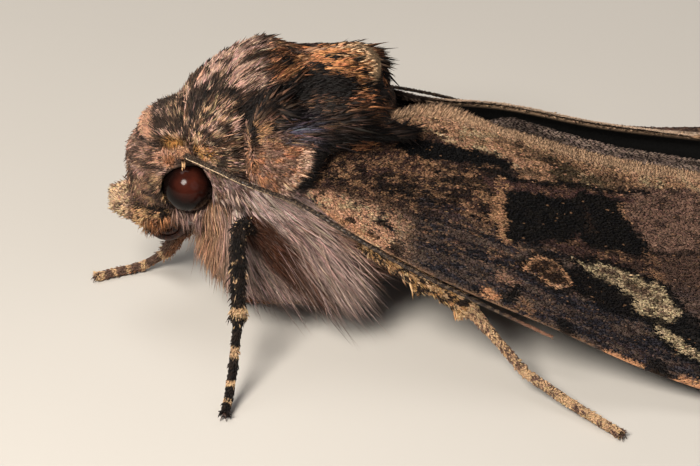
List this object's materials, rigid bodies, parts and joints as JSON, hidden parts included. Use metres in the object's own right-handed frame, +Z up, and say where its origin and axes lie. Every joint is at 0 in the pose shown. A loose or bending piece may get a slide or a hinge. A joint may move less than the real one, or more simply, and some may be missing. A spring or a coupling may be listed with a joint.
{
  "type": "moth",
  "caption": "Life-size still model of an owlet moth at rest, wings folded like a roof, crested furry thorax, threadlike feelers and banded legs.",
  "frame": {"origin": "on the floor under the middle of the model's bounding box; X = 0 is the body's own plane of symmetry", "axes": "+Z up, +Y from the head towards the tail, +X to the moth's left"},
  "size_m": [0.0186, 0.0241, 0.0105],
  "materials": {
    "brown_coat": "matt, dense hair scales, brown streaked with buff, rust and black",
    "grey_hair": "soft silky long hair, grey with a mauve cast",
    "wing_scales": "matt overlapping scales, dark brown with black, buff and cream marks and a faint bluish sheen",
    "hindwing_scales": "matt thin scales, plain grey-brown",
    "abdomen_hair": "matt short hair, grey-brown",
    "leg_scales": "matt close scales, dark brown ringed with cream",
    "hind_leg_scales": "matt close scales, golden brown paling to cream on the foot",
    "feeler_horn": "ringed horn with a dusting of scales",
    "eye_lens": "glossy, near black with a dark red depth",
    "tongue_horn": "smooth shiny horn, dark red-brown"
  },
  "bodies": {
    "root": {"head": "brown_coat", "eye_left": "eye_lens", "palp_left": "brown_coat", "antenna_left": "feeler_horn", "tegula_left": "brown_coat", "forewing_left": "wing_scales", "hindwing_left": "hindwing_scales", "eye_right": "eye_lens", "palp_right": "brown_coat", "antenna_right": "feeler_horn", "tegula_right": "brown_coat", "forewing_right": "wing_scales", "hindwing_right": "hindwing_scales", "proboscis": "tongue_horn", "collar": "brown_coat", "thorax": "brown_coat", "breast": "grey_hair", "abdomen_front": "abdomen_hair", "abdomen_rear": "abdomen_hair", "leg_fore_left_thigh": "leg_scales", "leg_fore_left_shin": "leg_scales", "leg_fore_left_foot": "leg_scales", "leg_fore_right_thigh": "leg_scales", "leg_fore_right_shin": "leg_scales", "leg_fore_right_foot": "leg_scales", "leg_mid_left_thigh": "leg_scales", "leg_mid_left_shin": "leg_scales", "leg_mid_left_foot": "leg_scales", "leg_mid_right_thigh": "leg_scales", "leg_mid_right_shin": "leg_scales", "leg_mid_right_foot": "leg_scales", "leg_hind_left_thigh": "hind_leg_scales", "leg_hind_left_shin": "hind_leg_scales", "leg_hind_left_foot": "hind_leg_scales", "leg_hind_right_thigh": "hind_leg_scales", "leg_hind_right_shin": "hind_leg_scales", "leg_hind_right_foot": "hind_leg_scales"}
  },
  "joints": []
}
